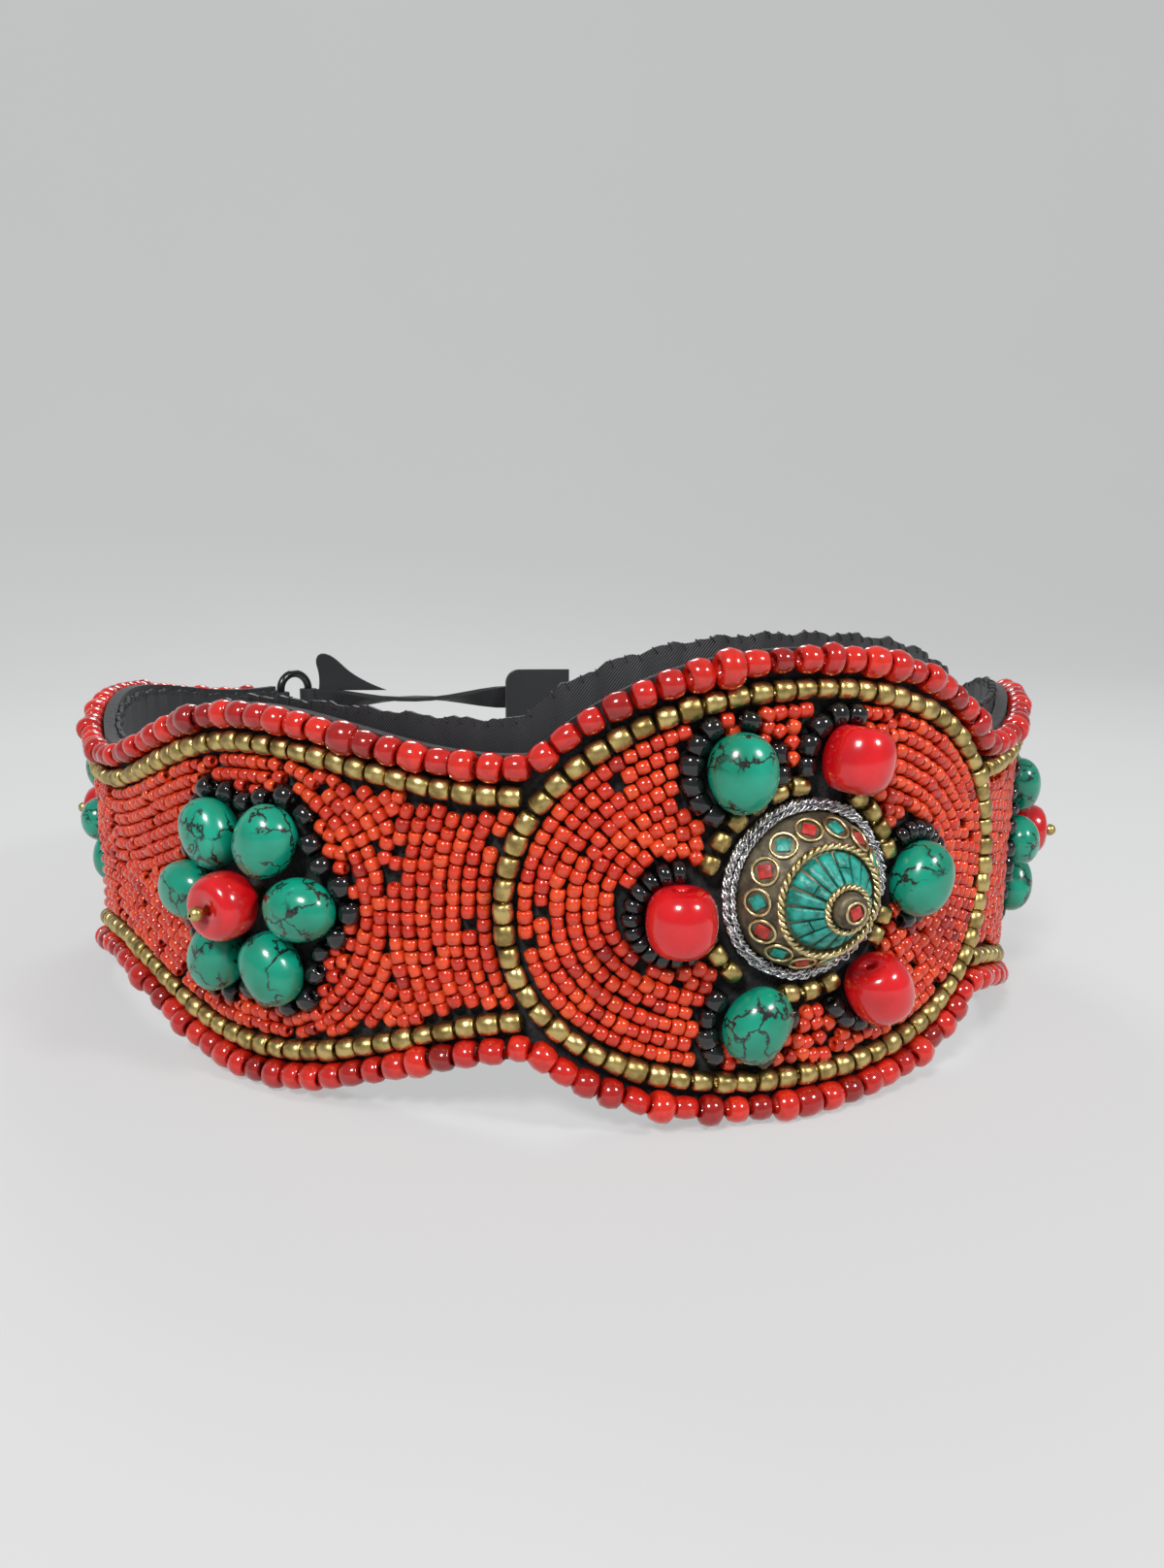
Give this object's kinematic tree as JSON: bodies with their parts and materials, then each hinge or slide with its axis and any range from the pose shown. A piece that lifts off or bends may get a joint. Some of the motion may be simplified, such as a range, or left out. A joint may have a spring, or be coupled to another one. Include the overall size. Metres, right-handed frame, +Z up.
{
  "type": "beaded headband",
  "caption": "Beaded fabric headband with soft folding lobes, a domed front medallion, stone rosettes and a ring-and-strap closure at the back.",
  "frame": {"origin": "middle of the band on the surface that it stands on", "axes": "+Z up, the medallion faces -Y, +X to the right as seen from the front"},
  "size_m": [0.1976, 0.1948, 0.0731],
  "materials": {
    "satin": "ribbed satin",
    "felt": "matte felt",
    "webbing": "woven tape",
    "hook_and_pile": "napped tape",
    "seed_glass": "glossy opaque glass",
    "edge_glass": "glossy opaque glass",
    "black_glass": "glossy opaque glass",
    "brass": "antique brass",
    "antique_brass": "dark patina",
    "tinsel": "bright tinsel",
    "turquoise": "polished",
    "turquoise_chip": "polished",
    "coral": "polished",
    "coral_chip": "polished",
    "black_ring": "glossy"
  },
  "bodies": {
    "centre": {"centre_lining": "satin", "centre_ground": "felt", "centre_seed_beads": "seed_glass", "centre_brass_beads": "brass", "centre_edge_beads": "edge_glass", "medallion_plate": "antique_brass", "medallion_braid": "tinsel", "medallion_dome": "antique_brass", "medallion_brasswork": "brass", "medallion_chips_coral": "coral_chip", "medallion_chips_turquoise": "turquoise_chip", "medallion_cone": "turquoise_chip", "collar_beads": "brass", "centre_turquoise": "turquoise", "centre_coral": "coral", "centre_black_beads": "black_glass"},
    "left_inner": {"left_inner_lining": "satin", "left_inner_ground": "felt", "left_inner_seed_beads": "seed_glass", "left_inner_brass_beads": "brass", "left_inner_edge_beads": "edge_glass", "left_inner_petals": "turquoise", "left_inner_black_beads": "black_glass", "left_inner_pin": "brass"},
    "left_inner_spinner": {"left_inner_coral": "coral"},
    "left_outer": {"left_outer_lining": "satin", "left_outer_ground": "felt", "left_outer_seed_beads": "seed_glass", "left_outer_brass_beads": "brass", "left_outer_edge_beads": "edge_glass", "left_outer_petals": "turquoise", "left_outer_black_beads": "black_glass", "left_outer_pin": "brass", "left_tab": "webbing"},
    "left_outer_spinner": {"left_outer_coral": "coral"},
    "right_inner": {"right_inner_lining": "satin", "right_inner_ground": "felt", "right_inner_seed_beads": "seed_glass", "right_inner_brass_beads": "brass", "right_inner_edge_beads": "edge_glass", "right_inner_petals": "turquoise", "right_inner_black_beads": "black_glass", "right_inner_pin": "brass"},
    "right_inner_spinner": {"right_inner_coral": "coral"},
    "right_outer": {"right_outer_lining": "satin", "right_outer_ground": "felt", "right_outer_seed_beads": "seed_glass", "right_outer_brass_beads": "brass", "right_outer_edge_beads": "edge_glass", "right_outer_petals": "turquoise", "right_outer_black_beads": "black_glass", "right_outer_pin": "brass", "right_tab": "webbing", "pile_pad": "hook_and_pile"},
    "right_outer_spinner": {"right_outer_coral": "coral"},
    "ring": {"loop_ring": "black_ring"},
    "strap_end": {"strap": "webbing", "hook_pad": "hook_and_pile"},
    "tail": {"strap_tail": "webbing"}
  },
  "joints": [
    {"name": "left_inner_fold", "type": "hinge", "parent": "centre", "child": "left_inner", "pos_m": [-0.03468, -0.0749, 0.03655], "axis": [0, 0, 1], "range_deg": [0, 15]},
    {"name": "left_outer_fold", "type": "hinge", "parent": "left_inner", "child": "left_outer", "pos_m": [-0.08959, -0.00635, 0.03655], "axis": [0, 0, 1], "range_deg": [0, 25]},
    {"name": "right_inner_fold", "type": "hinge", "parent": "centre", "child": "right_inner", "pos_m": [0.05682, -0.0749, 0.03655], "axis": [0, 0, -1], "range_deg": [0, 15]},
    {"name": "right_outer_fold", "type": "hinge", "parent": "right_inner", "child": "right_outer", "pos_m": [0.09918, 0.00124, 0.03655], "axis": [0, 0, -1], "range_deg": [0, 25]},
    {"name": "left_inner_coral_spin", "type": "hinge", "parent": "left_inner", "child": "left_inner_spinner", "pos_m": [-0.06302, -0.04489, 0.0311], "axis": [-0.7658, -0.6431, 0], "continuous": true},
    {"name": "right_inner_coral_spin", "type": "hinge", "parent": "right_inner", "child": "right_inner_spinner", "pos_m": [0.08286, -0.04271, 0.0311], "axis": [0.8569, -0.5155, 0], "continuous": true},
    {"name": "left_outer_coral_spin", "type": "hinge", "parent": "left_outer", "child": "left_outer_spinner", "pos_m": [-0.08573, 0.0443, 0.0291], "axis": [-0.9569, 0.2903, 0], "continuous": true},
    {"name": "right_outer_coral_spin", "type": "hinge", "parent": "right_outer", "child": "right_outer_spinner", "pos_m": [0.07889, 0.04781, 0.0291], "axis": [0.8085, 0.5885, 0], "continuous": true},
    {"name": "ring_swing", "type": "hinge", "parent": "left_outer", "child": "ring", "pos_m": [-0.04979, 0.09075, 0.0441], "axis": [0, 0, 1], "range_deg": [0, 40]},
    {"name": "strap_swing", "type": "hinge", "parent": "ring", "child": "strap_end", "pos_m": [-0.04185, 0.09498, 0.0441], "axis": [0, 0, 1], "range_deg": [0, 60]},
    {"name": "tail_flap", "type": "hinge", "parent": "strap_end", "child": "tail", "pos_m": [-0.04185, 0.09498, 0.0519], "axis": [0.9827, -0.1852, 0], "range_deg": [-30, 30], "stiffness_Nm_per_rad": 0.0002}
  ],
  "couplings": [
    {"joint": "left_outer_fold", "follows": "left_inner_fold", "ratio": 1.6666},
    {"joint": "right_inner_fold", "follows": "left_inner_fold", "ratio": 1},
    {"joint": "right_outer_fold", "follows": "left_inner_fold", "ratio": 1.6666}
  ]
}
